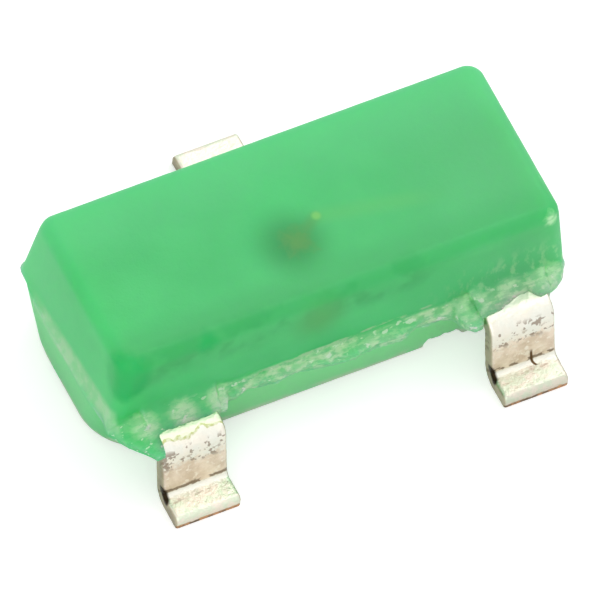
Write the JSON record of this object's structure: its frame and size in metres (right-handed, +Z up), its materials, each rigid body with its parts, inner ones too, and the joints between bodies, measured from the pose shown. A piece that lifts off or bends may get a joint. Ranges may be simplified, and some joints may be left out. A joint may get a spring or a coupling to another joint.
{
  "type": "surface-mount light-emitting diode",
  "caption": "Surface-mount light-emitting diode: a translucent green moulding on flat gull-wing leads, with its chip, bond wire and lead frame inside.",
  "frame": {"origin": "on the board, under the middle of the lead frame", "axes": "+X along the moulding's length, +Y towards the side of the single lead, +Z up out of the board"},
  "size_m": [0.0028, 0.0022, 0.001],
  "materials": {
    "green_resin": "satin translucent epoxy, green",
    "plated_lead": "matt tin plate over copper alloy, bare copper at the sheared toes",
    "chip_crystal": "dark brown semiconductor crystal, satin",
    "silver_adhesive": "silver-filled epoxy, matt",
    "gold": "bright gold"
  },
  "bodies": {
    "root": {"moulded_body": "green_resin", "lead_chip_carrier": "plated_lead", "lead_wire_post": "plated_lead", "lead_spare": "plated_lead", "led_chip": "chip_crystal", "die_attach": "silver_adhesive", "chip_top_contact": "gold", "bond_wire": "gold"}
  },
  "joints": []
}
